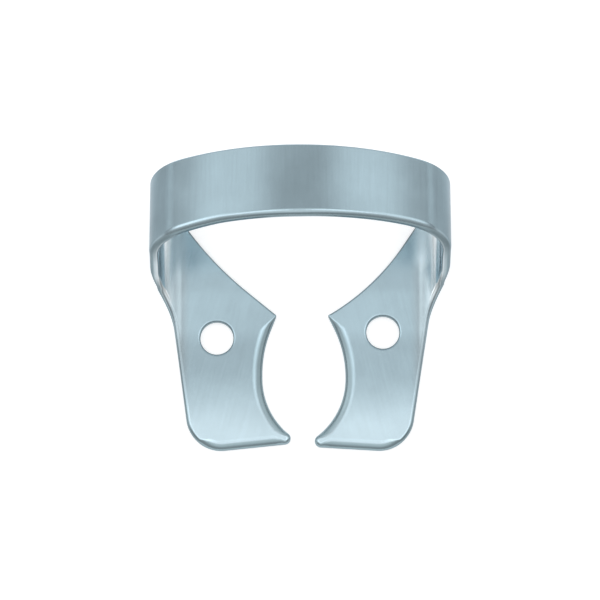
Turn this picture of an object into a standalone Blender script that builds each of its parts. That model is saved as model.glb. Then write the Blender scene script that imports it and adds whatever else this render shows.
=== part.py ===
"""Rubber dam clamp: one blank of spring steel sheet, folded into two jaws and a bow.

Each half of the flat blank is a jaw, a leg and half of the bow, and is drawn in two ways.
In the plan of a jaw, out runs from the mid-plane and back runs from the line across the far tips.
On the bow's strip, along runs from the crown's centre line and across runs from front to back.
Both describe the same flat sheet, turned by the lean, so each point has a place in either.
"""

import math

import bmesh
import bpy
from mathutils import Vector
from mathutils.geometry import delaunay_2d_cdt

# Sheet and bends, in metres and degrees
SHEET = 0.00068
LEG_SPAN = 0.02096
JAW_BEND_RADIUS = 0.00200
SHOULDER_BEND_RADIUS = 0.00445
CROWN_BEND_RADIUS = 0.01640
LEAN_ANGLE = 15.0
LEG_FLAT = 0.00083

# Bow's strip
BOW_BACK = 0.00813
CROWN_WIDTH = 0.00547
FLARE_LENGTH = 0.00466
FLARE_RADIUS = 0.01162

# Sides of the bow and of the jaws, in plan
FRONT_CORNER_RADIUS = 0.00253
ROOT_FRONT_RADIUS = 0.00564
ROOT_BACK_RADIUS = 0.00770
LEFT_FLARE_START = 0.00586
LEFT_WAIST_WIDTH = 0.00549
LEFT_SHOULDER_WIDTH = 0.00572
LEFT_CORNER_OUT = 0.00788
LEFT_CORNER_BACK = -0.01008
LEFT_ROOT_FRONT_OUT = 0.00958
LEFT_ROOT_BACK_OUT = 0.00974
RIGHT_FLARE_START = 0.00805
RIGHT_WAIST_WIDTH = 0.00525
RIGHT_SHOULDER_WIDTH = 0.00536
RIGHT_CORNER_OUT = 0.00784
RIGHT_CORNER_BACK = -0.00996
RIGHT_ROOT_FRONT_OUT = 0.00979
RIGHT_ROOT_BACK_OUT = 0.00964

# Working edges, in plan
TIP_ROUND = 0.00012
NEAR_TIP_ROUND = 0.00045
BITE_FAR_RADIUS = 0.00851
BITE_NEAR_RADIUS = 0.00557
BITE_FAR_BACK = -0.00258
BITE_NEAR_BACK = -0.00699
SLOPE_RADIUS = 0.02505
LEFT_GAP = 0.00274
LEFT_FAR_TIP_OUT = 0.00171
LEFT_NEAR_TIP_OUT = 0.00009
LEFT_NEAR_TIP_BACK = -0.00927
LEFT_SLOPE_OUT = 0.00621
LEFT_SLOPE_BACK = 0.00369
RIGHT_GAP = 0.00327
RIGHT_FAR_TIP_OUT = 0.00199
RIGHT_NEAR_TIP_OUT = 0.00037
RIGHT_NEAR_TIP_BACK = -0.00952
RIGHT_SLOPE_OUT = 0.00535
RIGHT_SLOPE_BACK = 0.00201

# Forceps holes
HOLE_RADIUS = 0.00119
LEFT_HOLE_OUT = 0.00603
LEFT_HOLE_BACK = -0.00166
RIGHT_HOLE_OUT = 0.00597
RIGHT_HOLE_BACK = -0.00123

# Rounding of the edges, measured inwards from the outline
WORKING_ROUND = 0.00078
FRONT_ROUND = 0.00072
OUTER_ROUND = 0.00030
BOW_FRONT_ROUND = 0.00042
BURNISHED_ROUND = 0.00014
HOLE_ROUND = 0.00018
ROUND_DEPTH_SHARE = 0.68
ROUND_GROWTH = 0.55
TIP_SHARE = 0.7
SIDE_SHARE = 0.98

# Mesh
EDGE_STEP = 0.00044
GRID_STEP = 0.00064
ARC_STEP = math.radians(10.0)
HOLE_POINTS = 36
UPPER_ROUND_STEPS = 5
LOWER_ROUND_STEPS = 3
SMOOTH_ANGLE = math.radians(40.0)
PLAN_SCALE = 1000.0

STEEL_COLOUR = (0.56, 0.66, 0.70, 1.0)
STEEL_ROUGHNESS = 0.36

# Sizes that follow from the ones above
lean = math.radians(LEAN_ANGLE)
leg_out = LEG_SPAN / 2
bend_start = leg_out - JAW_BEND_RADIUS
bend_length = JAW_BEND_RADIUS * math.pi / 2
shoulder_turn = math.acos((leg_out - SHOULDER_BEND_RADIUS) / (CROWN_BEND_RADIUS - SHOULDER_BEND_RADIUS))
shoulder_length = SHOULDER_BEND_RADIUS * shoulder_turn
half_bow = shoulder_length + CROWN_BEND_RADIUS * (math.pi / 2 - shoulder_turn)
shoulder_start = (JAW_BEND_RADIUS + BOW_BACK * math.sin(lean)) / math.cos(lean) + LEG_FLAT
crown_centre = shoulder_start - (CROWN_BEND_RADIUS - SHOULDER_BEND_RADIUS) * math.sin(shoulder_turn)


def plan_to_strip(out, back):
    """Place on the bow's strip of a point in the plan of a jaw."""
    up = out - bend_start - (bend_length - JAW_BEND_RADIUS)
    climb = up * math.cos(lean) + back * math.sin(lean)
    across = back * math.cos(lean) - up * math.sin(lean)
    return shoulder_start + half_bow - climb, across


def strip_to_plan(along, across):
    """Out and back of a place on the strip, with the leg and its bend laid flat."""
    climb = shoulder_start + half_bow - along
    up = climb * math.cos(lean) - across * math.sin(lean)
    back = climb * math.sin(lean) + across * math.cos(lean)
    return up + bend_start + (bend_length - JAW_BEND_RADIUS), back


def fold(along, across, height):
    """Point of the folded clamp at a place on the strip, height above the sheet's middle."""
    side = -1.0 if along < 0 else 1.0
    climb = shoulder_start + half_bow - abs(along)
    if climb > shoulder_start:
        arc = climb - shoulder_start
        if arc < shoulder_length:
            turn = arc / SHOULDER_BEND_RADIUS
            out = leg_out - SHOULDER_BEND_RADIUS * (1 - math.cos(turn))
            rise = shoulder_start + SHOULDER_BEND_RADIUS * math.sin(turn)
        else:
            turn = shoulder_turn + (arc - shoulder_length) / CROWN_BEND_RADIUS
            out = CROWN_BEND_RADIUS * math.cos(turn)
            rise = crown_centre + CROWN_BEND_RADIUS * math.sin(turn)
        out -= height * math.cos(turn)
        rise -= height * math.sin(turn)
        back = rise * math.sin(lean) + across * math.cos(lean)
        up = rise * math.cos(lean) - across * math.sin(lean)
        return Vector((side * out, back, up))
    out, back = strip_to_plan(abs(along), across)
    past = out - bend_start
    if past < 0:
        return Vector((side * out, back, height))
    if past < bend_length:
        turn = past / JAW_BEND_RADIUS
        inner = JAW_BEND_RADIUS - height
        out = bend_start + inner * math.sin(turn)
        return Vector((side * out, back, JAW_BEND_RADIUS - inner * math.cos(turn)))
    return Vector((side * (leg_out - height), back, JAW_BEND_RADIUS + past - bend_length))


def side_corners(flare, corner, roots, gap, far_tip_out, near_tip, slope):
    """Corners of half the blank on the strip: place, corner radius, rounding above and below after it."""
    flare_start, waist_width, shoulder_width = flare
    shoulder_front = BOW_BACK - shoulder_width

    def on_strip(out, across):
        """Place on the strip that lies at a given out and across."""
        up = out - bend_start - (bend_length - JAW_BEND_RADIUS)
        back = (across + up * math.sin(lean)) / math.cos(lean)
        return plan_to_strip(out, back)

    bow_front = (BURNISHED_ROUND, BOW_FRONT_ROUND)
    outer = (OUTER_ROUND, OUTER_ROUND)
    working = (WORKING_ROUND, BURNISHED_ROUND)
    burnished = (BURNISHED_ROUND, BURNISHED_ROUND)
    return [
        ((0.0, BOW_BACK - CROWN_WIDTH), 0.0, bow_front),
        ((flare_start, BOW_BACK - waist_width), FLARE_RADIUS, bow_front),
        ((flare_start + FLARE_LENGTH, shoulder_front), FLARE_RADIUS, bow_front),
        (on_strip(roots[0], shoulder_front), ROOT_FRONT_RADIUS, outer),
        (plan_to_strip(*corner), FRONT_CORNER_RADIUS, (FRONT_ROUND, BURNISHED_ROUND)),
        (plan_to_strip(*near_tip), NEAR_TIP_ROUND, working),
        (plan_to_strip(gap, BITE_NEAR_BACK), BITE_NEAR_RADIUS, working),
        (plan_to_strip(gap, BITE_FAR_BACK), BITE_FAR_RADIUS, working),
        (plan_to_strip(far_tip_out, 0.0), TIP_ROUND, burnished),
        (plan_to_strip(*slope), SLOPE_RADIUS, burnished),
        (on_strip(roots[1], BOW_BACK), ROOT_BACK_RADIUS, burnished),
        ((0.0, BOW_BACK), 0.0, burnished),
    ]


def straight(start, end, step):
    """Points from start up to, but not including, end."""
    count = max(1, math.ceil((end - start).length / step))
    return [start.lerp(end, i / count) for i in range(count)]


def corner_reaches(points, radii):
    """How far each corner's arc reaches along its two sides, made smaller where neighbours would meet."""
    reaches = [0.0] * len(points)
    for i in range(1, len(points) - 1):
        before = points[i - 1] - points[i]
        after = points[i + 1] - points[i]
        reaches[i] = radii[i] * math.tan((math.pi - before.angle(after)) / 2)
    fitted = list(reaches)
    for i in range(len(points) - 1):
        needed = reaches[i] + reaches[i + 1]
        share = min(1.0, SIDE_SHARE * (points[i + 1] - points[i]).length / needed)
        fitted[i] = min(fitted[i], share * reaches[i])
        fitted[i + 1] = min(fitted[i + 1], share * reaches[i + 1])
    return fitted


def rounded_path(corners, step):
    """Points along an open path with its corners rounded, each with its rounding above and below."""
    points = [Vector(place) for place, _, _ in corners]
    reaches = corner_reaches(points, [radius for _, radius, _ in corners])
    samples = []
    leave = points[0]
    for i in range(1, len(corners) - 1):
        rounding = corners[i - 1][2]
        before = (points[i - 1] - points[i]).normalized()
        after = (points[i + 1] - points[i]).normalized()
        half_turn = (math.pi - before.angle(after)) / 2
        radius = reaches[i] / math.tan(half_turn)
        arrive = points[i] + before * reaches[i]
        samples += [(p, rounding) for p in straight(leave, arrive, step)]
        centre = points[i] + (before + after).normalized() * radius / math.cos(half_turn)
        spoke = arrive - centre
        is_tip = before.x * after.y - before.y * after.x < 0
        turn = 2 * half_turn if is_tip else -2 * half_turn
        count = max(2, math.ceil(abs(turn) / ARC_STEP), math.ceil(abs(turn) * radius / step))
        for k in range(count):
            angle = turn * k / count
            place = centre + Vector((spoke.x * math.cos(angle) - spoke.y * math.sin(angle),
                                     spoke.x * math.sin(angle) + spoke.y * math.cos(angle)))
            near = rounding if k < count / 2 else corners[i][2]
            limit = TIP_SHARE * radius if is_tip else max(near)
            samples.append((place, tuple(min(width, limit) for width in near)))
        leave = points[i] + after * reaches[i]
    samples += [(p, corners[-2][2]) for p in straight(leave, points[-1], step)]
    samples.append((points[-1], corners[-2][2]))
    return samples


def ease_rounding(samples):
    """Let the rounding change only slowly along a closed outline."""
    widths = [list(rounding) for _, rounding in samples]
    count = len(samples)
    for step in (1, -1):
        for i in range(2 * count) if step == 1 else range(2 * count, 0, -1):
            here, last = i % count, (i - step) % count
            room = ROUND_GROWTH * (samples[here][0] - samples[last][0]).length
            for level in (0, 1):
                widths[here][level] = min(widths[here][level], widths[last][level] + room)
    return [(place, widths[i]) for i, (place, _) in enumerate(samples)]


def blank_outline():
    """Closed outline of the whole blank on the strip."""
    left = side_corners((LEFT_FLARE_START, LEFT_WAIST_WIDTH, LEFT_SHOULDER_WIDTH),
                        (LEFT_CORNER_OUT, LEFT_CORNER_BACK),
                        (LEFT_ROOT_FRONT_OUT, LEFT_ROOT_BACK_OUT),
                        LEFT_GAP, LEFT_FAR_TIP_OUT,
                        (LEFT_NEAR_TIP_OUT, LEFT_NEAR_TIP_BACK),
                        (LEFT_SLOPE_OUT, LEFT_SLOPE_BACK))
    right = side_corners((RIGHT_FLARE_START, RIGHT_WAIST_WIDTH, RIGHT_SHOULDER_WIDTH),
                         (RIGHT_CORNER_OUT, RIGHT_CORNER_BACK),
                         (RIGHT_ROOT_FRONT_OUT, RIGHT_ROOT_BACK_OUT),
                         RIGHT_GAP, RIGHT_FAR_TIP_OUT,
                         (RIGHT_NEAR_TIP_OUT, RIGHT_NEAR_TIP_BACK),
                         (RIGHT_SLOPE_OUT, RIGHT_SLOPE_BACK))
    left_path, right_path = rounded_path(left, EDGE_STEP), rounded_path(right, EDGE_STEP)
    mirrored = [(Vector((-place.x, place.y)), rounding) for place, rounding in reversed(left_path)]
    return ease_rounding(right_path + mirrored[1:-1])


def hole_outline(side, out, back):
    """Circle of one forceps hole on the strip."""
    along, across = plan_to_strip(out, back)
    centre = Vector((side * along, across))
    ring = []
    for k in range(HOLE_POINTS):
        angle = 2 * math.pi * k / HOLE_POINTS
        place = centre + HOLE_RADIUS * Vector((math.cos(angle), math.sin(angle)))
        ring.append((place, [HOLE_ROUND, HOLE_ROUND]))
    return ring


def inward(samples):
    """Unit vectors into the material at each sample of a closed outline that has it on its left."""
    count = len(samples)
    result = []
    for i in range(count):
        run = (samples[(i + 1) % count][0] - samples[i - 1][0]).normalized()
        result.append(Vector((-run.y, run.x)))
    return result


def rounding_profile():
    """Steps of the edge's section from top to bottom: upper or lower, share inset, share of its depth."""
    steps = []
    for k in range(UPPER_ROUND_STEPS + 1):
        angle = math.pi / 2 * k / UPPER_ROUND_STEPS
        steps.append((0, 1 - math.sin(angle), 1 - math.cos(angle)))
    for k in range(LOWER_ROUND_STEPS, -1, -1):
        angle = math.pi / 2 * k / LOWER_ROUND_STEPS
        steps.append((1, 1 - math.sin(angle), 1 - math.cos(angle)))
    return steps


def edge_loops(samples):
    """Places and heights of the rounded edge, one closed loop for each step of its section."""
    normals = inward(samples)
    loops = []
    for level, inset, drop in rounding_profile():
        loop = []
        for (place, widths), normal in zip(samples, normals):
            width = widths[level]
            depth = min(width, ROUND_DEPTH_SHARE * SHEET)
            height = SHEET / 2 - drop * depth
            loop.append((place + normal * width * inset, height if level == 0 else -height))
        loops.append(loop)
    return loops


def inside(point, ring):
    """Whether a point lies inside a closed ring."""
    result = False
    for a, b in zip(ring, ring[1:] + ring[:1]):
        if (a.y > point.y) != (b.y > point.y):
            if point.x < a.x + (b.x - a.x) * (point.y - a.y) / (b.y - a.y):
                result = not result
    return result


def grid_points(rings):
    """Points inside the outline: in rows along the bow, and in rows along the jaws' bends."""
    spacing = GRID_STEP
    clearance = 0.55 * spacing
    border = [p for ring in rings for p in ring]
    rows = math.ceil(0.03 / spacing)
    found = []

    def keep(point):
        if not inside(point, rings[0]) or any(inside(point, ring) for ring in rings[1:]):
            return
        if min((point - p).length for p in border) > clearance:
            found.append(point)

    for i in range(-rows, rows + 1):
        for j in range(rows):
            along = i * spacing
            if abs(along) < half_bow:
                keep(Vector((along, j * spacing)))
    for side in (-1, 1):
        for i in range(rows):
            for j in range(-rows, rows):
                out = leg_out + bend_length - JAW_BEND_RADIUS - i * spacing
                along, across = plan_to_strip(out, j * spacing)
                if along > half_bow + clearance:
                    keep(Vector((side * along, across)))
    return found


def fill(rings):
    """Triangles between an outline and its holes, with the points that they use."""
    points = [p for ring in rings for p in ring]
    edges = []
    start = 0
    for ring in rings:
        count = len(ring)
        edges += [(start + i, start + (i + 1) % count) for i in range(count)]
        start += count
    points += grid_points(rings)
    scaled = [p * PLAN_SCALE for p in points]
    _, _, faces, sources, _, _ = delaunay_2d_cdt(scaled, edges, [], 1, 1e-6)
    triangles = []
    for face in faces:
        corners = [sources[i][0] for i in face]
        middle = (points[corners[0]] + points[corners[1]] + points[corners[2]]) / 3
        if not any(inside(middle, ring) for ring in rings[1:]):
            triangles.append(corners)
    return points, triangles


def build_sheet():
    """Closed mesh of the folded blank."""
    mesh = bmesh.new()
    outlines = [blank_outline()]
    outlines.append(hole_outline(-1, LEFT_HOLE_OUT, LEFT_HOLE_BACK)[::-1])
    outlines.append(hole_outline(1, RIGHT_HOLE_OUT, RIGHT_HOLE_BACK)[::-1])
    loops = [edge_loops(samples) for samples in outlines]
    rings = []
    for outline_loops in loops:
        ring_verts = []
        for loop in outline_loops:
            ring_verts.append([mesh.verts.new(fold(p.x, p.y, height)) for p, height in loop])
        for upper, lower in zip(ring_verts, ring_verts[1:]):
            count = len(upper)
            for i in range(count):
                j = (i + 1) % count
                mesh.faces.new((upper[i], lower[i], lower[j], upper[j]))
        rings.append(ring_verts)
    for step, height in ((0, SHEET / 2), (-1, -SHEET / 2)):
        points, triangles = fill([[p for p, _ in outline_loops[step]] for outline_loops in loops])
        verts = [v for ring_verts in rings for v in ring_verts[step]]
        verts += [mesh.verts.new(fold(p.x, p.y, height)) for p in points[len(verts):]]
        for corners in triangles:
            mesh.faces.new([verts[i] for i in corners])
    bmesh.ops.recalc_face_normals(mesh, faces=mesh.faces)
    bmesh.ops.triangulate(mesh, faces=[face for face in mesh.faces if len(face.verts) > 3])
    return mesh


def stand_on_origin(mesh):
    """Move the mesh so that the origin is below its middle, on the plane that it rests on."""
    lows = [min(v.co[axis] for v in mesh.verts) for axis in range(3)]
    highs = [max(v.co[axis] for v in mesh.verts) for axis in range(3)]
    middle = Vector(((lows[0] + highs[0]) / 2, (lows[1] + highs[1]) / 2, lows[2]))
    bmesh.ops.translate(mesh, vec=-middle, verts=mesh.verts)


def steel():
    """Satin spring steel."""
    material = bpy.data.materials.new("satin_steel")
    material.use_nodes = True
    shader = material.node_tree.nodes["Principled BSDF"]
    shader.inputs["Base Color"].default_value = STEEL_COLOUR
    shader.inputs["Metallic"].default_value = 1.0
    shader.inputs["Roughness"].default_value = STEEL_ROUGHNESS
    return material


def main():
    for old in list(bpy.data.objects):
        bpy.data.objects.remove(old, do_unlink=True)
    mesh = build_sheet()
    stand_on_origin(mesh)
    data = bpy.data.meshes.new("clamp")
    mesh.to_mesh(data)
    mesh.free()
    data.shade_smooth()
    data.set_sharp_from_angle(angle=SMOOTH_ANGLE)
    data.materials.append(steel())
    clamp = bpy.data.objects.new("clamp", data)
    bpy.context.scene.collection.objects.link(clamp)


main()
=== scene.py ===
"""Looks of the rubber dam clamp: its folded sheet once more, with a mesh fine enough for satin steel."""

import math

import bpy
import numpy as np
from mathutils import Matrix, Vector, kdtree
from mathutils.geometry import delaunay_2d_cdt


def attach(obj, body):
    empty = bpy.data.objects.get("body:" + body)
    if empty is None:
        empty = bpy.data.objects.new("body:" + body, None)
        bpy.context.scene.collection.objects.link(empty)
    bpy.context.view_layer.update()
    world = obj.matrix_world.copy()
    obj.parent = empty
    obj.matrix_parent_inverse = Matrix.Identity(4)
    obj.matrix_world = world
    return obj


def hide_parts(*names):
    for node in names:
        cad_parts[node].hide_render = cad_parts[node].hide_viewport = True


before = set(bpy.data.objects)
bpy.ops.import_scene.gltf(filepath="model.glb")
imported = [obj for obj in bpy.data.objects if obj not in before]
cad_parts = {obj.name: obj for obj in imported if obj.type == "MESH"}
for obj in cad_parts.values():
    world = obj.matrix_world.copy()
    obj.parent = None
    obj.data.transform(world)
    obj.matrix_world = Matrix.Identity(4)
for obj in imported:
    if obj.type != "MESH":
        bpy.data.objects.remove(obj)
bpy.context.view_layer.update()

# Sheet and bends, in metres and degrees
SHEET = 0.00068
LEG_SPAN = 0.02096
JAW_BEND_RADIUS = 0.00200
SHOULDER_BEND_RADIUS = 0.00445
CROWN_BEND_RADIUS = 0.01640
LEAN_ANGLE = 15.0
LEG_FLAT = 0.00083

# Bow's strip
BOW_BACK = 0.00813
CROWN_WIDTH = 0.00547
FLARE_LENGTH = 0.00466
FLARE_RADIUS = 0.01162

# Sides of the bow and of the jaws, in plan
FRONT_CORNER_RADIUS = 0.00253
ROOT_FRONT_RADIUS = 0.00564
ROOT_BACK_RADIUS = 0.00770
LEFT_FLARE_START = 0.00586
LEFT_WAIST_WIDTH = 0.00549
LEFT_SHOULDER_WIDTH = 0.00572
LEFT_CORNER_OUT = 0.00788
LEFT_CORNER_BACK = -0.01008
LEFT_ROOT_FRONT_OUT = 0.00958
LEFT_ROOT_BACK_OUT = 0.00974
RIGHT_FLARE_START = 0.00805
RIGHT_WAIST_WIDTH = 0.00525
RIGHT_SHOULDER_WIDTH = 0.00536
RIGHT_CORNER_OUT = 0.00784
RIGHT_CORNER_BACK = -0.00996
RIGHT_ROOT_FRONT_OUT = 0.00979
RIGHT_ROOT_BACK_OUT = 0.00964

# Working edges, in plan
TIP_ROUND = 0.00012
NEAR_TIP_ROUND = 0.00045
BITE_FAR_RADIUS = 0.00851
BITE_NEAR_RADIUS = 0.00557
BITE_FAR_BACK = -0.00258
BITE_NEAR_BACK = -0.00699
SLOPE_RADIUS = 0.02505
LEFT_GAP = 0.00274
LEFT_FAR_TIP_OUT = 0.00171
LEFT_NEAR_TIP_OUT = 0.00009
LEFT_NEAR_TIP_BACK = -0.00927
LEFT_SLOPE_OUT = 0.00621
LEFT_SLOPE_BACK = 0.00369
RIGHT_GAP = 0.00327
RIGHT_FAR_TIP_OUT = 0.00199
RIGHT_NEAR_TIP_OUT = 0.00037
RIGHT_NEAR_TIP_BACK = -0.00952
RIGHT_SLOPE_OUT = 0.00535
RIGHT_SLOPE_BACK = 0.00201

# Forceps holes
HOLE_RADIUS = 0.00119
LEFT_HOLE_OUT = 0.00603
LEFT_HOLE_BACK = -0.00166
RIGHT_HOLE_OUT = 0.00597
RIGHT_HOLE_BACK = -0.00123

# Rounding of the edges, measured inwards from the outline
WORKING_ROUND = 0.00078
FRONT_ROUND = 0.00072
OUTER_ROUND = 0.00030
BOW_FRONT_ROUND = 0.00042
BURNISHED_ROUND = 0.00014
HOLE_ROUND = 0.00018
ROUND_DEPTH_SHARE = 0.68
ROUND_GROWTH = 0.55
TIP_SHARE = 0.7
SIDE_SHARE = 0.98

# Mesh
EDGE_STEP = 0.00014
GRID_STEP = 0.00026
GRID_REACH = 0.03
GRID_CLEARANCE = 0.55
ARC_STEP = math.radians(5.0)
HOLE_POINTS = 96
UPPER_ROUND_STEPS = 10
LOWER_ROUND_STEPS = 6
PLAN_SCALE = 1000.0
SMALL_STEP = 0.000001

# Camera: it looks down on the jaws from in front of them
CAMERA_ELEVATION = math.radians(80.0)
CAMERA_DISTANCE = 0.300
CAMERA_LENS = 248.4
CAMERA_SENSOR = 36.0
CAMERA_AIM_BACK = 0.001148
CAMERA_SHIFT = (-0.00050, 0.00080)
CLIP_START = 0.01

# Steel: its colour, a paler colour of painted light, a darker colour of the edges' painted shade, and the
# size and strength of its clouds, brushing and grain
STEEL_COLOUR = (0.455, 0.600, 0.672, 1.0)
# Paler colour of painted light: reflected light on the inner faces and bends, and the jaws' lighter front
PAINTED_LIGHT_COLOUR = (0.835, 0.893, 0.915, 1.0)
# Darker colour of painted shade on the rounded edges, set in by how far they tilt
EDGE_PAINTED_SHADE_COLOUR = (0.268, 0.355, 0.388, 1.0)
GRAZING_TINT = (0.78, 0.83, 0.86, 1.0)
CLOUD_SIZE = 0.0032
CLOUD_TONE = 0.24
STREAK_SIZE = 0.00016
STREAK_SQUEEZE = (1.0, 0.04, 1.0)
STREAK_TONE = 0.11
STREAK_HEIGHT = 0.0000008
GRAIN_SIZE = 0.00018
GRAIN_TONE = 0.05
GRAIN_HEIGHT = 0.0000014
SHEEN_SIZE = 0.0022
LEAST_ROUGHNESS = 0.19
MOST_ROUGHNESS = 0.25

# Painted light and shade on the faces: what each adds to the lightness, its share of the paler painted-light
# colour, and where it sets in
# Painted highlight: the jaws lighter and paler towards their front
FRONT_PAINTED_HIGHLIGHT = 0.40
FRONT_PAINTED_PALENESS = 0.16
FRONT_SPAN = (0.0036, 0.0088)
# Painted shade: the jaws darker around their middle
MIDDLE_PAINTED_SHADE = -0.13
MIDDLE_SPAN = (0.0008, 0.0024)
# Painted shadow of the bow on the jaws' back part
BEHIND_PAINTED_SHADOW = -0.06
BEHIND_SPAN = (0.0014, 0.0022)
# Painted shade where the jaw bends set in, damping their highlight
BEND_START_PAINTED_SHADE = -0.17
BEND_START_PAINTED_PALENESS = 0.25
BEND_START_SPAN = (-0.3 * JAW_BEND_RADIUS, 0.2 * JAW_BEND_RADIUS)
# Painted shade on the front part of the jaw bends
FRONT_BEND_PAINTED_SHADE = -0.10
FRONT_BEND_SPAN = (0.0012, 0.0030)
# Painted highlight on the back part of the right jaw bend
RIGHT_BEND_PAINTED_HIGHLIGHT = 0.38
RIGHT_BEND_PAINTED_PALENESS = 0.45
RIGHT_BEND_SPAN = (0.0030, 0.0043)
# Where the bends' inner faces take the paler painted-light colour
BENT_SPAN = (0.3 * JAW_BEND_RADIUS, 0.85 * JAW_BEND_RADIUS)
# Painted shade on the outer faces of the shoulders, and less of it low on the legs
SHOULDER_PAINTED_SHADE = -0.48
SHOULDER_SPAN = (0.0087, 0.0097)
LEG_PAINTED_SHADE = -0.20
LEG_TOP_SPAN = (0.0010, 0.0040)

# Painted shade and painted highlights on the rounded edges, by tilt from the face: tilts in degrees at which
# they set in and are full
EDGE_ANGLES = (12.0, 20.0)
BEND_EDGE_ANGLES = (40.0, 64.0)
LEG_EDGE_ANGLES = (6.0, 14.0)
HOLE_EDGE_ANGLES = (28.0, 50.0)
CROWN_EDGE_ANGLES = (16.0, 62.0)
BOW_SIDE_EDGE_ANGLES = (32.0, 54.0)
# Painted shade on the bow's edge walls, and a painted highlight line along the bow's edges
BOW_WALL_ANGLE = 80.0
BOW_WALL_PAINTED_SHADE = -0.16
BOW_LIGHT_ANGLES = (12.0, 24.0)
BOW_LIGHT_END_ANGLES = (32.0, 46.0)
BOW_PAINTED_HIGHLIGHT = 0.14
# Painted shade on the jaws' outer edges, and the walls' own painted shade
OUTER_EDGE_ANGLES = (2.0, 12.0)
OUTER_EDGE_PAINTED_SHADE = -0.30
UPPER_WALL_ANGLES = (60.0, 80.0)
LOWER_WALL_ANGLES = (56.0, 76.0)
WALL_PAINTED_SHADE = -0.06

# Shares of the edges' painted shade on the bends and legs, and of the walls' painted shade on the right leg
BEND_EDGE_SHARE = 0.60
LEG_EDGE_SHARE = 0.30
RIGHT_WALL_SHARE = 0.45

# Where the edges' painted light and shade change, past the jaw bend's start or along the bow
OUTER_EDGE_SPAN = (-0.0017, -0.0007)
BEND_EDGE_SPAN = (-0.3 * JAW_BEND_RADIUS, 0.3 * JAW_BEND_RADIUS)
LEG_START_SPAN = (0.9 * JAW_BEND_RADIUS, 1.4 * JAW_BEND_RADIUS)
LEG_END_SPAN = (-0.0020, 0.0026)
BOW_SIDE_SPAN = (0.0015, 0.0055)

# Floor
FLOOR_HALF = 3.0
FLOOR_GAP = 0.00002
FLOOR_COLOUR = (0.66, 0.67, 0.68, 1.0)
FLOOR_GLOW = 0.62
FLOOR_GLOW_REFLECTED = 0.45

# Studio: each panel has an azimuth, an elevation, the angles at which it is full and gone, and a level
HORIZON_LEVEL = 0.54
RING_LEVEL = 0.52
HORIZON_END = 8.0
RING_START = 18.0
PANELS = (
    (0.0, 80.0, 6.0, 24.0, 0.26),
    (180.0, 58.0, 10.0, 30.0, 0.46),
    (-92.0, 69.0, 8.0, 21.0, 0.88),
    (92.0, 69.0, 8.0, 21.0, 0.90),
    (-80.0, 34.0, 8.0, 28.0, 0.98),
    (80.0, 34.0, 8.0, 28.0, 0.62),
    (-41.0, 39.0, 5.0, 22.0, 0.42),
    (41.0, 39.0, 5.0, 22.0, 0.42),
)

# Sizes that follow from the ones above
lean = math.radians(LEAN_ANGLE)
leg_out = LEG_SPAN / 2
bend_start = leg_out - JAW_BEND_RADIUS
bend_length = JAW_BEND_RADIUS * math.pi / 2
shoulder_turn = math.acos((leg_out - SHOULDER_BEND_RADIUS) / (CROWN_BEND_RADIUS - SHOULDER_BEND_RADIUS))
shoulder_length = SHOULDER_BEND_RADIUS * shoulder_turn
half_bow = shoulder_length + CROWN_BEND_RADIUS * (math.pi / 2 - shoulder_turn)
shoulder_start = (JAW_BEND_RADIUS + BOW_BACK * math.sin(lean)) / math.cos(lean) + LEG_FLAT
crown_centre = shoulder_start - (CROWN_BEND_RADIUS - SHOULDER_BEND_RADIUS) * math.sin(shoulder_turn)


def plan_to_strip(out, back):
    """Place on the bow's strip of a point in the plan of a jaw."""
    up = out - bend_start - (bend_length - JAW_BEND_RADIUS)
    climb = up * math.cos(lean) + back * math.sin(lean)
    across = back * math.cos(lean) - up * math.sin(lean)
    return shoulder_start + half_bow - climb, across


def strip_to_plan(along, across):
    """Out and back of a place on the strip, with the leg and its bend laid flat."""
    climb = shoulder_start + half_bow - along
    up = climb * math.cos(lean) - across * math.sin(lean)
    back = climb * math.sin(lean) + across * math.cos(lean)
    return up + bend_start + (bend_length - JAW_BEND_RADIUS), back


def fold(along, across, height):
    """Point of the folded clamp at a place on the strip, height above the sheet's middle."""
    side = -1.0 if along < 0 else 1.0
    climb = shoulder_start + half_bow - abs(along)
    if climb > shoulder_start:
        arc = climb - shoulder_start
        if arc < shoulder_length:
            turn = arc / SHOULDER_BEND_RADIUS
            out = leg_out - SHOULDER_BEND_RADIUS * (1 - math.cos(turn))
            rise = shoulder_start + SHOULDER_BEND_RADIUS * math.sin(turn)
        else:
            turn = shoulder_turn + (arc - shoulder_length) / CROWN_BEND_RADIUS
            out = CROWN_BEND_RADIUS * math.cos(turn)
            rise = crown_centre + CROWN_BEND_RADIUS * math.sin(turn)
        out -= height * math.cos(turn)
        rise -= height * math.sin(turn)
        back = rise * math.sin(lean) + across * math.cos(lean)
        up = rise * math.cos(lean) - across * math.sin(lean)
        return Vector((side * out, back, up))
    out, back = strip_to_plan(abs(along), across)
    past = out - bend_start
    if past < 0:
        return Vector((side * out, back, height))
    if past < bend_length:
        turn = past / JAW_BEND_RADIUS
        inner = JAW_BEND_RADIUS - height
        out = bend_start + inner * math.sin(turn)
        return Vector((side * out, back, JAW_BEND_RADIUS - inner * math.cos(turn)))
    return Vector((side * (leg_out - height), back, JAW_BEND_RADIUS + past - bend_length))


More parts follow.
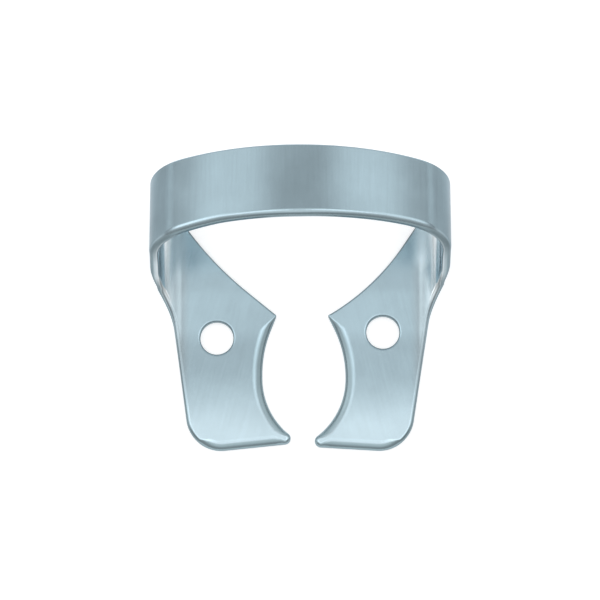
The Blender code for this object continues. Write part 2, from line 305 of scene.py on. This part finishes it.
def side_corners(flare, corner, roots, gap, far_tip_out, near_tip, slope):
    """Corners of half the blank on the strip: place, corner radius, rounding above and below after it."""
    flare_start, waist_width, shoulder_width = flare
    shoulder_front = BOW_BACK - shoulder_width

    def on_strip(out, across):
        """Place on the strip that lies at a given out and across."""
        up = out - bend_start - (bend_length - JAW_BEND_RADIUS)
        back = (across + up * math.sin(lean)) / math.cos(lean)
        return plan_to_strip(out, back)

    bow_front = (BURNISHED_ROUND, BOW_FRONT_ROUND)
    outer = (OUTER_ROUND, OUTER_ROUND)
    working = (WORKING_ROUND, BURNISHED_ROUND)
    burnished = (BURNISHED_ROUND, BURNISHED_ROUND)
    return [
        ((0.0, BOW_BACK - CROWN_WIDTH), 0.0, bow_front),
        ((flare_start, BOW_BACK - waist_width), FLARE_RADIUS, bow_front),
        ((flare_start + FLARE_LENGTH, shoulder_front), FLARE_RADIUS, bow_front),
        (on_strip(roots[0], shoulder_front), ROOT_FRONT_RADIUS, outer),
        (plan_to_strip(*corner), FRONT_CORNER_RADIUS, (FRONT_ROUND, BURNISHED_ROUND)),
        (plan_to_strip(*near_tip), NEAR_TIP_ROUND, working),
        (plan_to_strip(gap, BITE_NEAR_BACK), BITE_NEAR_RADIUS, working),
        (plan_to_strip(gap, BITE_FAR_BACK), BITE_FAR_RADIUS, working),
        (plan_to_strip(far_tip_out, 0.0), TIP_ROUND, burnished),
        (plan_to_strip(*slope), SLOPE_RADIUS, burnished),
        (on_strip(roots[1], BOW_BACK), ROOT_BACK_RADIUS, burnished),
        ((0.0, BOW_BACK), 0.0, burnished),
    ]


def straight(start, end, step):
    """Points from start up to, but not including, end."""
    count = max(1, math.ceil((end - start).length / step))
    return [start.lerp(end, i / count) for i in range(count)]


def corner_reaches(points, radii):
    """How far each corner's arc reaches along its two sides, made smaller where neighbours would meet."""
    reaches = [0.0] * len(points)
    for i in range(1, len(points) - 1):
        before = points[i - 1] - points[i]
        after = points[i + 1] - points[i]
        reaches[i] = radii[i] * math.tan((math.pi - before.angle(after)) / 2)
    fitted = list(reaches)
    for i in range(len(points) - 1):
        needed = reaches[i] + reaches[i + 1]
        share = min(1.0, SIDE_SHARE * (points[i + 1] - points[i]).length / needed)
        fitted[i] = min(fitted[i], share * reaches[i])
        fitted[i + 1] = min(fitted[i + 1], share * reaches[i + 1])
    return fitted


def rounded_path(corners, step):
    """Points along an open path with its corners rounded, each with its rounding above and below."""
    points = [Vector(place) for place, _, _ in corners]
    reaches = corner_reaches(points, [radius for _, radius, _ in corners])
    samples = []
    leave = points[0]
    for i in range(1, len(corners) - 1):
        rounding = corners[i - 1][2]
        before = (points[i - 1] - points[i]).normalized()
        after = (points[i + 1] - points[i]).normalized()
        half_turn = (math.pi - before.angle(after)) / 2
        radius = reaches[i] / math.tan(half_turn)
        arrive = points[i] + before * reaches[i]
        samples += [(p, rounding) for p in straight(leave, arrive, step)]
        centre = points[i] + (before + after).normalized() * radius / math.cos(half_turn)
        spoke = arrive - centre
        is_tip = before.x * after.y - before.y * after.x < 0
        turn = 2 * half_turn if is_tip else -2 * half_turn
        count = max(2, math.ceil(abs(turn) / ARC_STEP), math.ceil(abs(turn) * radius / step))
        for k in range(count):
            angle = turn * k / count
            place = centre + Vector((spoke.x * math.cos(angle) - spoke.y * math.sin(angle),
                                     spoke.x * math.sin(angle) + spoke.y * math.cos(angle)))
            near = rounding if k < count / 2 else corners[i][2]
            limit = TIP_SHARE * radius if is_tip else max(near)
            samples.append((place, tuple(min(width, limit) for width in near)))
        leave = points[i] + after * reaches[i]
    samples += [(p, corners[-2][2]) for p in straight(leave, points[-1], step)]
    samples.append((points[-1], corners[-2][2]))
    return samples


def ease_rounding(samples):
    """Let the rounding change only slowly along a closed outline."""
    widths = [list(rounding) for _, rounding in samples]
    count = len(samples)
    for step in (1, -1):
        for i in range(2 * count) if step == 1 else range(2 * count, 0, -1):
            here, last = i % count, (i - step) % count
            room = ROUND_GROWTH * (samples[here][0] - samples[last][0]).length
            for level in (0, 1):
                widths[here][level] = min(widths[here][level], widths[last][level] + room)
    return [(place, widths[i]) for i, (place, _) in enumerate(samples)]


def blank_outline():
    """Closed outline of the whole blank on the strip."""
    left = side_corners((LEFT_FLARE_START, LEFT_WAIST_WIDTH, LEFT_SHOULDER_WIDTH),
                        (LEFT_CORNER_OUT, LEFT_CORNER_BACK),
                        (LEFT_ROOT_FRONT_OUT, LEFT_ROOT_BACK_OUT),
                        LEFT_GAP, LEFT_FAR_TIP_OUT,
                        (LEFT_NEAR_TIP_OUT, LEFT_NEAR_TIP_BACK),
                        (LEFT_SLOPE_OUT, LEFT_SLOPE_BACK))
    right = side_corners((RIGHT_FLARE_START, RIGHT_WAIST_WIDTH, RIGHT_SHOULDER_WIDTH),
                         (RIGHT_CORNER_OUT, RIGHT_CORNER_BACK),
                         (RIGHT_ROOT_FRONT_OUT, RIGHT_ROOT_BACK_OUT),
                         RIGHT_GAP, RIGHT_FAR_TIP_OUT,
                         (RIGHT_NEAR_TIP_OUT, RIGHT_NEAR_TIP_BACK),
                         (RIGHT_SLOPE_OUT, RIGHT_SLOPE_BACK))
    left_path, right_path = rounded_path(left, EDGE_STEP), rounded_path(right, EDGE_STEP)
    mirrored = [(Vector((-place.x, place.y)), rounding) for place, rounding in reversed(left_path)]
    return ease_rounding(right_path + mirrored[1:-1])


def hole_outline(side, out, back):
    """Circle of one forceps hole on the strip."""
    along, across = plan_to_strip(out, back)
    centre = Vector((side * along, across))
    ring = []
    for k in range(HOLE_POINTS):
        angle = 2 * math.pi * k / HOLE_POINTS
        place = centre + HOLE_RADIUS * Vector((math.cos(angle), math.sin(angle)))
        ring.append((place, [HOLE_ROUND, HOLE_ROUND]))
    return ring


def inward(samples):
    """Unit vectors into the material at each sample of a closed outline that has it on its left."""
    count = len(samples)
    result = []
    for i in range(count):
        run = (samples[(i + 1) % count][0] - samples[i - 1][0]).normalized()
        result.append(Vector((-run.y, run.x)))
    return result


def rounding_profile():
    """Steps of the edge's section from top to bottom: upper or lower, share inset, share of its depth."""
    steps = []
    for k in range(UPPER_ROUND_STEPS + 1):
        angle = math.pi / 2 * k / UPPER_ROUND_STEPS
        steps.append((0, 1 - math.sin(angle), 1 - math.cos(angle)))
    for k in range(LOWER_ROUND_STEPS, -1, -1):
        angle = math.pi / 2 * k / LOWER_ROUND_STEPS
        steps.append((1, 1 - math.sin(angle), 1 - math.cos(angle)))
    return steps


def edge_loops(samples):
    """Places and heights of the rounded edge, one closed loop for each step of its section."""
    normals = inward(samples)
    loops = []
    for level, inset, drop in rounding_profile():
        loop = []
        for (place, widths), normal in zip(samples, normals):
            width = widths[level]
            depth = min(width, ROUND_DEPTH_SHARE * SHEET)
            height = SHEET / 2 - drop * depth
            loop.append((place + normal * width * inset, height if level == 0 else -height))
        loops.append(loop)
    return loops


def sheet_normal(place, flat_normal):
    """World direction of a direction given on the strip: along, across and up from its middle surface."""
    along = place.x if abs(place.x) > SMALL_STEP else SMALL_STEP
    here = fold(along, place.y, 0.0)
    run = (fold(along + SMALL_STEP, place.y, 0.0) - fold(along - SMALL_STEP, place.y, 0.0)).normalized()
    rise = (fold(along, place.y, SMALL_STEP) - here).normalized()
    cross = (fold(along, place.y + SMALL_STEP, 0.0) - fold(along, place.y - SMALL_STEP, 0.0)).normalized()
    return (run * flat_normal[0] + cross * flat_normal[1] + rise * flat_normal[2]).normalized()


def ease(value, low, high):
    """Smooth step from 0 at low to 1 at high."""
    share = min(1.0, max(0.0, (value - low) / (high - low)))
    return share * share * (3 - 2 * share)


def blend(first, second, share):
    """Value between two numbers."""
    return first + share * (second - first)


def painted_face_light_and_shade(place, height):
    """Painted light and shade at a place on the strip, as a factor on the steel's lightness, and its share
    of the paler painted-light colour.
    """
    inner = height / SHEET + 0.5
    out, back = strip_to_plan(abs(place.x), place.y)
    past = out - bend_start
    folded_out = abs(fold(place.x, place.y, height).x)
    front = ease(-back, *FRONT_SPAN)
    jaw = FRONT_PAINTED_HIGHLIGHT * front + MIDDLE_PAINTED_SHADE * ease(-back, *MIDDLE_SPAN)
    jaw += BEHIND_PAINTED_SHADOW * ease(back, *BEHIND_SPAN)
    behind_right = ease(back, *RIGHT_BEND_SPAN) * (place.x > 0)
    front_bend = FRONT_BEND_PAINTED_SHADE * (1 - ease(back, *FRONT_BEND_SPAN))
    bend_begun = ease(past, *BEND_START_SPAN)
    jaw += (BEND_START_PAINTED_SHADE + front_bend + RIGHT_BEND_PAINTED_HIGHLIGHT * behind_right) * bend_begun
    bent = ease(past, *BENT_SPAN)
    low_leg = 1 - ease(past - bend_length, *LEG_TOP_SPAN)
    outer = ease(folded_out, *SHOULDER_SPAN) * blend(SHOULDER_PAINTED_SHADE, LEG_PAINTED_SHADE, low_leg)
    bend_pale = (BEND_START_PAINTED_PALENESS + RIGHT_BEND_PAINTED_PALENESS * behind_right) * bend_begun
    pale = max(bent, FRONT_PAINTED_PALENESS * front, bend_pale)
    return 1 + inner * jaw * (1 - bent) + (1 - inner) * outer * bent, inner * pale


def painted_edge_light_and_shade(place, level, out, extra_width, in_hole):
    """Painted shade at a direction on the rounded edge, set by its tilt, and the painted highlight and shade
    added to its lightness there.
    """
    tilt = math.degrees(math.atan2(out.x, out.y))
    if in_hole:
        return ease(tilt, *HOLE_EDGE_ANGLES), 0.0
    past = strip_to_plan(abs(place.x), place.y)[0] - bend_start
    leg = ease(past, *LEG_START_SPAN) * (1 - ease(half_bow - abs(place.x), *LEG_END_SPAN))
    bend = ease(past, *BEND_EDGE_SPAN) * (1 - leg)
    outer = ease(past, *OUTER_EDGE_SPAN) * (1 - bend) * (1 - leg)
    begin, full = (blend(a, b, bend) for a, b in zip(EDGE_ANGLES, BEND_EDGE_ANGLES))
    light = OUTER_EDGE_PAINTED_SHADE * outer * ease(tilt, *OUTER_EDGE_ANGLES)
    wall_share = leg if place.x < 0 else leg * RIGHT_WALL_SHARE
    if level == 0:
        wall = wall_share * ease(tilt, *UPPER_WALL_ANGLES)
        dark = ease(tilt, begin, full) * (1 - wall)
        dark *= blend(1, BEND_EDGE_SHARE, bend) * blend(1, LEG_EDGE_SHARE, leg)
        return dark, light + WALL_PAINTED_SHADE * wall
    side = ease(abs(place.x), *BOW_SIDE_SPAN)
    bow = ease(extra_width, 0.0, 0.5 * BOW_FRONT_ROUND)
    bow_angles = [blend(a, b, side) for a, b in zip(CROWN_EDGE_ANGLES, BOW_SIDE_EDGE_ANGLES)]
    begin, full = (blend(a, b, bow) for a, b in zip((begin, full), bow_angles))
    begin, full = (blend(a, b, leg) for a, b in zip((begin, full), LEG_EDGE_ANGLES))
    line = ease(tilt, *BOW_LIGHT_ANGLES) * (1 - ease(tilt, *BOW_LIGHT_END_ANGLES))
    bow_light = BOW_PAINTED_HIGHLIGHT * side * line + BOW_WALL_PAINTED_SHADE * ease(tilt, full, BOW_WALL_ANGLE)
    light += bow * (1 - leg) * bow_light
    wall = wall_share * ease(tilt, *LOWER_WALL_ANGLES)
    return ease(tilt, begin, full) * (1 - wall), light + WALL_PAINTED_SHADE * wall


def edge_normals(samples, in_hole):
    """Normals of the rounded edge on the strip, in the order of edge_loops, each with its painted_edge_light_and_shade."""
    normals = inward(samples)
    loops = []
    for level, inset, drop in rounding_profile():
        angle_sine, angle_cosine = 1 - inset, 1 - drop
        loop = []
        for (place, widths), normal in zip(samples, normals):
            width = widths[level]
            depth = min(width, ROUND_DEPTH_SHARE * SHEET)
            out = Vector((depth * angle_sine, width * angle_cosine)).normalized()
            side = out.y if level == 0 else -out.y
            flat = (-normal.x * out.x, -normal.y * out.x, side)
            loop.append((flat, painted_edge_light_and_shade(place, level, out, widths[1] - widths[0], in_hole)))
        loops.append(loop)
    return loops


def inside_mask(points, ring):
    """Which points lie inside a closed ring."""
    result = np.zeros(len(points), bool)
    for a, b in zip(ring, ring[1:] + ring[:1]):
        if a.y == b.y:
            continue
        spans = (a.y > points[:, 1]) != (b.y > points[:, 1])
        result ^= spans & (points[:, 0] < a.x + (b.x - a.x) * (points[:, 1] - a.y) / (b.y - a.y))
    return result


def grid_points(rings):
    """Points inside the outline: in rows along the bow, and in rows along the jaws' bends."""
    spacing = GRID_STEP
    rows = math.ceil(GRID_REACH / spacing)
    last_out = leg_out + bend_length - JAW_BEND_RADIUS
    found = []
    for i in range(-rows, rows + 1):
        if abs(i * spacing) < half_bow:
            found += [(i * spacing, j * spacing) for j in range(rows)]
    for side in (-1, 1):
        for i in range(rows):
            for j in range(-rows, rows):
                along, across = plan_to_strip(last_out - i * spacing, j * spacing)
                if along > half_bow + 0.5 * spacing:
                    found.append((side * along, across))
    points = np.array(found)
    keep = inside_mask(points, rings[0])
    for ring in rings[1:]:
        keep &= ~inside_mask(points, ring)
    points = points[keep]
    tree = kdtree.KDTree(sum(len(ring) for ring in rings))
    for ring in rings:
        for p in ring:
            tree.insert((p.x, p.y, 0.0), 0)
    tree.balance()
    return [Vector(p) for p in points if tree.find((p[0], p[1], 0.0))[2] > GRID_CLEARANCE * spacing]


def fill(rings):
    """Triangles between an outline and its holes, with the points that they use."""
    points = [p for ring in rings for p in ring]
    edges = []
    start = 0
    for ring in rings:
        count = len(ring)
        edges += [(start + i, start + (i + 1) % count) for i in range(count)]
        start += count
    points += grid_points(rings)
    scaled = [p * PLAN_SCALE for p in points]
    _, _, faces, sources, _, _ = delaunay_2d_cdt(scaled, edges, [], 1, 1e-7)
    triangles = [[sources[i][0] for i in face] for face in faces]
    middles = np.array([tuple((points[a] + points[b] + points[c]) / 3) for a, b, c in triangles])
    keep = np.ones(len(middles), bool)
    for ring in rings[1:]:
        keep &= ~inside_mask(middles, ring)
    return points, [corners for corners, kept in zip(triangles, keep) if kept]


def clamp_mesh():
    """Fine mesh of the folded blank, with the normals of its true surfaces."""
    outlines = [blank_outline()]
    outlines.append(hole_outline(-1, LEFT_HOLE_OUT, LEFT_HOLE_BACK)[::-1])
    outlines.append(hole_outline(1, RIGHT_HOLE_OUT, RIGHT_HOLE_BACK)[::-1])
    loops = [edge_loops(samples) for samples in outlines]
    places = []
    normals = []
    faces = []
    starts = []
    looks = []
    strip_places = []

    def add_vertex(place, height, flat_normal, tones):
        """One vertex of the folded sheet, with its normal and the painted light and shade of its steel."""
        places.append(fold(place.x, place.y, height))
        normals.append(sheet_normal(place, flat_normal))
        tone, inner = painted_face_light_and_shade(place, height)
        looks.extend((tone + tones[1], inner, tones[0]))
        strip_places.extend((place.x, place.y, height))

    for samples, outline_loops in zip(outlines, loops):
        starts.append(len(places))
        for loop, loop_normals in zip(outline_loops, edge_normals(samples, samples is not outlines[0])):
            for (p, height), (flat, tones) in zip(loop, loop_normals):
                add_vertex(p, height, flat, tones)
        count = len(samples)
        for k in range(len(outline_loops) - 1):
            a = starts[-1] + k * count
            for i in range(count):
                j = (i + 1) % count
                faces.append((a + i, a + j, a + count + j, a + count + i))
    for step, height in ((0, SHEET / 2), (len(loops[0]) - 1, -SHEET / 2)):
        points, triangles = fill([[p for p, _ in outline_loops[step]] for outline_loops in loops])
        index = []
        for start, samples in zip(starts, outlines):
            index += [start + step * len(samples) + i for i in range(len(samples))]
        for p in points[len(index):]:
            index.append(len(places))
            add_vertex(p, height, (0.0, 0.0, math.copysign(1.0, height)), (0.0, 0.0))
        for a, b, c in triangles:
            faces.append((index[a], index[b], index[c]) if height < 0 else (index[a], index[c], index[b]))
    lows = np.min(places, axis=0)
    highs = np.max(places, axis=0)
    origin = Vector(((lows[0] + highs[0]) / 2, (lows[1] + highs[1]) / 2, lows[2]))
    mesh = bpy.data.meshes.new("clamp_sheet")
    mesh.from_pydata([p - origin for p in places], [], faces)
    mesh.validate()
    mesh.shade_smooth()
    # looks holds painted light and shade: lightness, share of the paler painted-light colour, share of the
    # edges' painted shade
    mesh.attributes.new("looks", "FLOAT_VECTOR", "POINT").data.foreach_set("vector", looks)
    mesh.attributes.new("strip_place", "FLOAT_VECTOR", "POINT").data.foreach_set("vector", strip_places)
    mesh.normals_split_custom_set_from_vertices([tuple(n) for n in normals])
    return mesh, origin


def node(tree, kind, inputs=None, **settings):
    """A shader node with its settings and unlinked input values."""
    result = tree.nodes.new(kind)
    for key, value in settings.items():
        setattr(result, key, value)
    for key, value in (inputs or {}).items():
        result.inputs[key].default_value = value
    return result


def math_node(tree, operation, a, b):
    """Output of a math node whose two inputs are numbers or other outputs."""
    result = node(tree, "ShaderNodeMath", operation=operation)
    for socket, value in zip(result.inputs, (a, b)):
        if isinstance(value, (int, float)):
            socket.default_value = value
        else:
            tree.links.new(value, socket)
    return result.outputs[0]


def ramp(tree, value, low, high, from_value, to_value):
    """Value smoothly mapped from one range to another and held outside it."""
    result = node(tree, "ShaderNodeMapRange", interpolation_type="SMOOTHSTEP",
                  inputs={"From Min": low, "From Max": high, "To Min": from_value, "To Max": to_value})
    tree.links.new(value, result.inputs["Value"])
    return result.outputs["Result"]


def mix_colour(tree, fac, first, second):
    """Colour between two constant or linked colours."""
    result = node(tree, "ShaderNodeMix", data_type="RGBA")
    for index, value in ((0, fac), (6, first), (7, second)):
        if isinstance(value, (tuple, float)):
            result.inputs[index].default_value = value
        else:
            tree.links.new(value, result.inputs[index])
    return result.outputs[2]


def scaled_colour(tree, colour, factor):
    """Colour multiplied by a number."""
    result = node(tree, "ShaderNodeVectorMath", operation="SCALE")
    tree.links.new(colour, result.inputs[0])
    tree.links.new(factor, result.inputs["Scale"])
    return result.outputs[0]


def noise(tree, place, size, detail):
    """Noise from 0 to 1 whose features have about the given size in metres."""
    result = node(tree, "ShaderNodeTexNoise", inputs={"Scale": 1 / size, "Detail": detail})
    tree.links.new(place, result.inputs["Vector"])
    return result.outputs["Fac"]


def attribute(tree, name):
    """Vector held by one of the mesh's own attributes."""
    return node(tree, "ShaderNodeAttribute", attribute_name=name).outputs["Vector"]


def centred(tree, value, range_):
    """Value from 0 to 1 turned into one that runs around 0 over the given range."""
    return math_node(tree, "MULTIPLY", math_node(tree, "SUBTRACT", value, 0.5), range_)


def total(tree, *values):
    """Sum of several numbers or outputs."""
    result = values[0]
    for value in values[1:]:
        result = math_node(tree, "ADD", result, value)
    return result


def steel_material():
    """Satin spring steel: cloudy, faintly brushed across the strip, with painted light and shade on its
    faces and painted shade on its rounded edges.
    """
    material = bpy.data.materials.new("satin_spring_steel")
    material.use_nodes = True
    tree = material.node_tree
    shader = tree.nodes["Principled BSDF"]
    shader.inputs["Metallic"].default_value = 1.0
    shader.inputs["Specular Tint"].default_value = GRAZING_TINT
    place = node(tree, "ShaderNodeTexCoord").outputs["Object"]
    squeeze = node(tree, "ShaderNodeVectorMath", operation="MULTIPLY", inputs={1: STREAK_SQUEEZE})
    tree.links.new(attribute(tree, "strip_place"), squeeze.inputs[0])
    looks = node(tree, "ShaderNodeSeparateXYZ")
    tree.links.new(attribute(tree, "looks"), looks.inputs[0])
    clouds = noise(tree, place, CLOUD_SIZE, 3.0)
    streaks = noise(tree, squeeze.outputs[0], STREAK_SIZE, 3.0)
    grain = noise(tree, place, GRAIN_SIZE, 2.0)
    # Lightness: painted light and shade from looks, with the clouds, brushing and grain
    tone = total(tree, looks.outputs["X"], centred(tree, clouds, CLOUD_TONE),
                 centred(tree, streaks, STREAK_TONE), centred(tree, grain, GRAIN_TONE))
    # Paler painted-light colour, then the darker colour of the edges' painted shade
    colour = mix_colour(tree, looks.outputs["Y"], STEEL_COLOUR, PAINTED_LIGHT_COLOUR)
    colour = mix_colour(tree, looks.outputs["Z"], colour, EDGE_PAINTED_SHADE_COLOUR)
    tree.links.new(scaled_colour(tree, colour, tone), shader.inputs["Base Color"])
    sheen = noise(tree, place, SHEEN_SIZE, 4.0)
    rough = ramp(tree, sheen, 0.25, 0.75, LEAST_ROUGHNESS, MOST_ROUGHNESS)
    tree.links.new(rough, shader.inputs["Roughness"])
    height = total(tree, math_node(tree, "MULTIPLY", grain, GRAIN_HEIGHT),
                   math_node(tree, "MULTIPLY", streaks, STREAK_HEIGHT))
    bump = node(tree, "ShaderNodeBump", inputs={"Strength": 1.0, "Distance": 1.0})
    tree.links.new(height, bump.inputs["Height"])
    tree.links.new(bump.outputs["Normal"], shader.inputs["Normal"])
    return material


def add_floor():
    """Pale floor under the clamp, white to the eye and in reflections because it glows a little."""
    mesh = bpy.data.meshes.new("floor")
    mesh.from_pydata([(-FLOOR_HALF, -FLOOR_HALF, 0), (FLOOR_HALF, -FLOOR_HALF, 0),
                      (FLOOR_HALF, FLOOR_HALF, 0), (-FLOOR_HALF, FLOOR_HALF, 0)], [], [(0, 1, 2, 3)])
    floor = bpy.data.objects.new("floor", mesh)
    floor.location.z = -FLOOR_GAP
    bpy.context.scene.collection.objects.link(floor)
    material = bpy.data.materials.new("floor_paper")
    material.use_nodes = True
    tree = material.node_tree
    shader = tree.nodes["Principled BSDF"]
    shader.inputs["Base Color"].default_value = FLOOR_COLOUR
    shader.inputs["Roughness"].default_value = 1.0
    shader.inputs["Specular IOR Level"].default_value = 0.0
    path = node(tree, "ShaderNodeLightPath")
    seen = math_node(tree, "MULTIPLY", path.outputs["Is Camera Ray"], FLOOR_GLOW)
    mirrored = math_node(tree, "MAXIMUM", path.outputs["Is Glossy Ray"], path.outputs["Is Transmission Ray"])
    reflected = math_node(tree, "MULTIPLY", mirrored, FLOOR_GLOW_REFLECTED)
    shader.inputs["Emission Color"].default_value = (1.0, 1.0, 1.0, 1.0)
    tree.links.new(math_node(tree, "MAXIMUM", seen, reflected), shader.inputs["Emission Strength"])
    mesh.materials.append(material)


def height_of(elevation):
    """Sine of an elevation in degrees."""
    return math.sin(math.radians(elevation))


def direction(azimuth, elevation):
    """Unit vector at an azimuth in degrees from +Y towards +X, and an elevation in degrees."""
    a, e = math.radians(azimuth), math.radians(elevation)
    return (math.sin(a) * math.cos(e), math.cos(a) * math.cos(e), math.sin(e))


def add_world():
    """Studio: a pale horizon, a ring of nearly the same level above it, and soft round panels of light."""
    world = bpy.data.worlds.new("studio")
    bpy.context.scene.world = world
    world.use_nodes = True
    tree = world.node_tree
    place = node(tree, "ShaderNodeTexCoord").outputs["Generated"]
    split = node(tree, "ShaderNodeSeparateXYZ")
    tree.links.new(place, split.inputs[0])
    low = height_of(HORIZON_END)
    high = height_of(RING_START)
    level = ramp(tree, split.outputs["Z"], low, high, HORIZON_LEVEL, RING_LEVEL)
    for azimuth, elevation, full, gone, strength in PANELS:
        dot = node(tree, "ShaderNodeVectorMath", operation="DOT_PRODUCT")
        dot.inputs[1].default_value = direction(azimuth, elevation)
        tree.links.new(place, dot.inputs[0])
        near = math.cos(math.radians(full))
        far = math.cos(math.radians(gone))
        level = math_node(tree, "ADD", level, ramp(tree, dot.outputs["Value"], far, near, 0.0, strength))
    level = math_node(tree, "MAXIMUM", level, node(tree, "ShaderNodeLightPath").outputs["Is Camera Ray"])
    background = tree.nodes["Background"]
    background.inputs["Color"].default_value = (1.0, 1.0, 1.0, 1.0)
    tree.links.new(level, background.inputs["Strength"])


def add_camera(origin):
    """Camera at the photograph's angle."""
    data = bpy.data.cameras.new("camera")
    data.lens = CAMERA_LENS
    data.sensor_width = CAMERA_SENSOR
    data.shift_x, data.shift_y = CAMERA_SHIFT
    data.clip_start = CLIP_START
    camera = bpy.data.objects.new("camera", data)
    bpy.context.scene.collection.objects.link(camera)
    aim = Vector((0.0, CAMERA_AIM_BACK, 0.0)) - origin
    offset = Vector((0.0, -math.cos(CAMERA_ELEVATION), math.sin(CAMERA_ELEVATION))) * CAMERA_DISTANCE
    camera.location = aim + offset
    camera.rotation_euler = (math.pi / 2 - CAMERA_ELEVATION, 0.0, 0.0)
    bpy.context.scene.camera = camera


def main():
    mesh, origin = clamp_mesh()
    clamp = bpy.data.objects.new("clamp_steel", mesh)
    bpy.context.scene.collection.objects.link(clamp)
    mesh.materials.append(steel_material())
    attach(clamp, "root")
    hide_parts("clamp")
    add_floor()
    add_world()
    add_camera(origin)
    bpy.context.scene.view_settings.view_transform = "Standard"


main()
